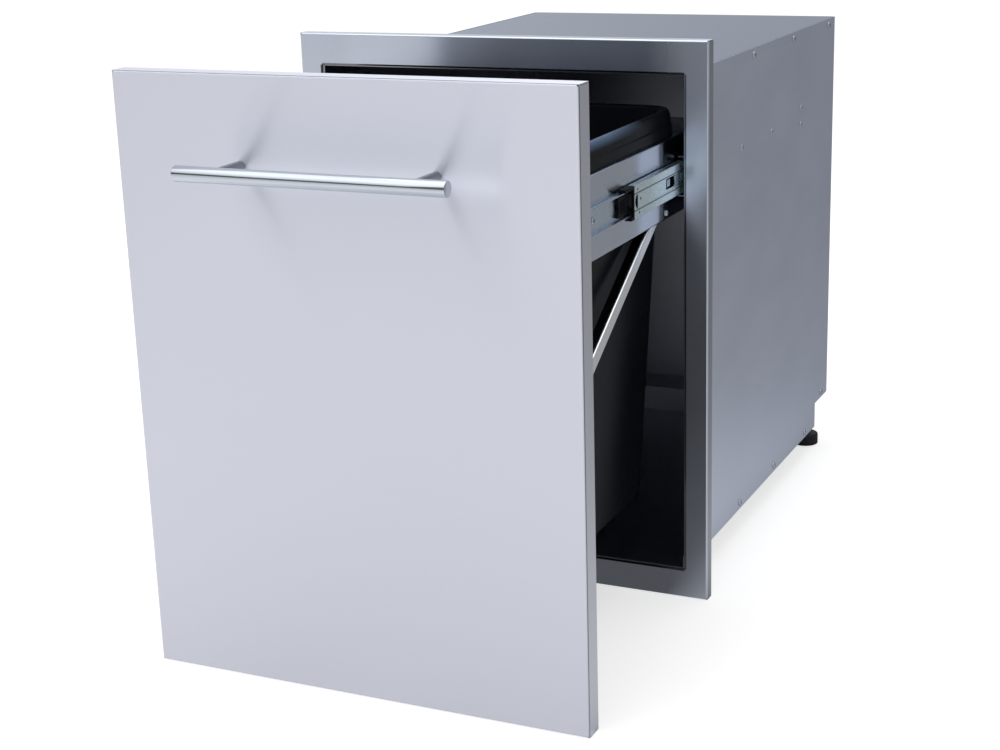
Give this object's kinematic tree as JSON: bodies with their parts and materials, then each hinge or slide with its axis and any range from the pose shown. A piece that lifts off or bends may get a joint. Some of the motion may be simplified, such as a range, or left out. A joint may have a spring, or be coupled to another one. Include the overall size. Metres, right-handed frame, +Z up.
{
  "type": "pull-out waste bin drawer",
  "caption": "Built-in stainless steel cabinet with a pull-out drawer on ball-bearing slides that carries a lift-out plastic waste bin behind a full-height front with a bar handle.",
  "frame": {"origin": "on the floor, centred on the width, in the plane of the face frame's front", "axes": "+X to the right seen from the front, +Y from the front into the cabinet, +Z up"},
  "size_m": [0.51, 1.067, 0.652],
  "materials": {
    "front_steel": "fine horizontal brush, satin",
    "frame_steel": "brushed along each side",
    "shell_steel": "mill satin",
    "rail_steel": "satin",
    "handle_steel": "polished satin",
    "zinc": "bright zinc plating",
    "ball_steel": "polished",
    "nose_plastic": "moulded",
    "rubber": "matte",
    "bin_plastic": "fine moulded grain"
  },
  "bodies": {
    "cabinet": {"face_frame": "frame_steel", "left_side": "shell_steel", "right_side": "shell_steel", "top_panel": "shell_steel", "bottom_panel": "shell_steel", "back_panel": "shell_steel", "shell_screws": "zinc", "foot_nuts": "zinc", "left_cabinet_slide": "zinc", "right_cabinet_slide": "zinc", "slide_rivets": "zinc", "left_slide_stop": "nose_plastic", "right_slide_stop": "nose_plastic"},
    "left_leveller": {"left_foot": "rubber"},
    "right_leveller": {"right_foot": "rubber"},
    "left_outer_race": {"left_outer_cage": "zinc", "left_outer_balls": "ball_steel"},
    "right_outer_race": {"right_outer_cage": "zinc", "right_outer_balls": "ball_steel"},
    "left_middle": {"left_middle_slide": "zinc", "left_slide_nose": "nose_plastic"},
    "right_middle": {"right_middle_slide": "zinc", "right_slide_nose": "nose_plastic"},
    "left_inner_race": {"left_inner_cage": "zinc", "left_inner_balls": "ball_steel"},
    "right_inner_race": {"right_inner_cage": "zinc", "right_inner_balls": "ball_steel"},
    "drawer": {"left_drawer_slide": "zinc", "right_drawer_slide": "zinc", "left_release_lever": "nose_plastic", "right_release_lever": "nose_plastic", "slide_screws": "zinc", "front_skin": "front_steel", "front_liner": "front_steel", "front_bumpers": "rubber", "handle_bar": "handle_steel", "handle_posts": "handle_steel", "handle_backing": "rail_steel", "handle_screws": "zinc", "left_rail": "rail_steel", "right_rail": "rail_steel", "front_crossbar": "rail_steel", "bin_crossbar": "rail_steel", "rear_crossbar": "rail_steel", "left_brace": "rail_steel", "right_brace": "rail_steel", "frame_screws": "zinc", "brace_screws": "zinc"},
    "waste_bin": {"bin": "bin_plastic"}
  },
  "joints": [
    {"name": "drawer_slide", "type": "slide", "parent": "cabinet", "child": "drawer", "axis": [0, -1, 0], "range_m": [-0.3425, 0.1575]},
    {"name": "left_middle_slide", "type": "slide", "parent": "cabinet", "child": "left_middle", "axis": [0, -1, 0], "range_m": [-0.17135, 0.07885]},
    {"name": "left_outer_race_slide", "type": "slide", "parent": "cabinet", "child": "left_outer_race", "axis": [0, -1, 0], "range_m": [-0.08573, 0.03948]},
    {"name": "left_inner_race_slide", "type": "slide", "parent": "cabinet", "child": "left_inner_race", "axis": [0, -1, 0], "range_m": [-0.25698, 0.11823]},
    {"name": "right_middle_slide", "type": "slide", "parent": "cabinet", "child": "right_middle", "axis": [0, -1, 0], "range_m": [-0.17135, 0.07885]},
    {"name": "right_outer_race_slide", "type": "slide", "parent": "cabinet", "child": "right_outer_race", "axis": [0, -1, 0], "range_m": [-0.08573, 0.03948]},
    {"name": "right_inner_race_slide", "type": "slide", "parent": "cabinet", "child": "right_inner_race", "axis": [0, -1, 0], "range_m": [-0.25698, 0.11823]},
    {"name": "bin_lift", "type": "slide", "parent": "drawer", "child": "waste_bin", "axis": [0, 0, 1], "range_m": [0, 0.035]},
    {"name": "left_foot_turn", "type": "hinge", "parent": "cabinet", "child": "left_leveller", "pos_m": [-0.205, 0.597, 0], "axis": [0, 0, 1], "continuous": true},
    {"name": "right_foot_turn", "type": "hinge", "parent": "cabinet", "child": "right_leveller", "pos_m": [0.205, 0.597, 0], "axis": [0, 0, 1], "continuous": true}
  ],
  "couplings": [
    {"joint": "left_middle_slide", "follows": "drawer_slide", "ratio": 0.5},
    {"joint": "left_outer_race_slide", "follows": "drawer_slide", "ratio": 0.25},
    {"joint": "left_inner_race_slide", "follows": "drawer_slide", "ratio": 0.75},
    {"joint": "right_middle_slide", "follows": "drawer_slide", "ratio": 0.5},
    {"joint": "right_outer_race_slide", "follows": "drawer_slide", "ratio": 0.25},
    {"joint": "right_inner_race_slide", "follows": "drawer_slide", "ratio": 0.75}
  ]
}
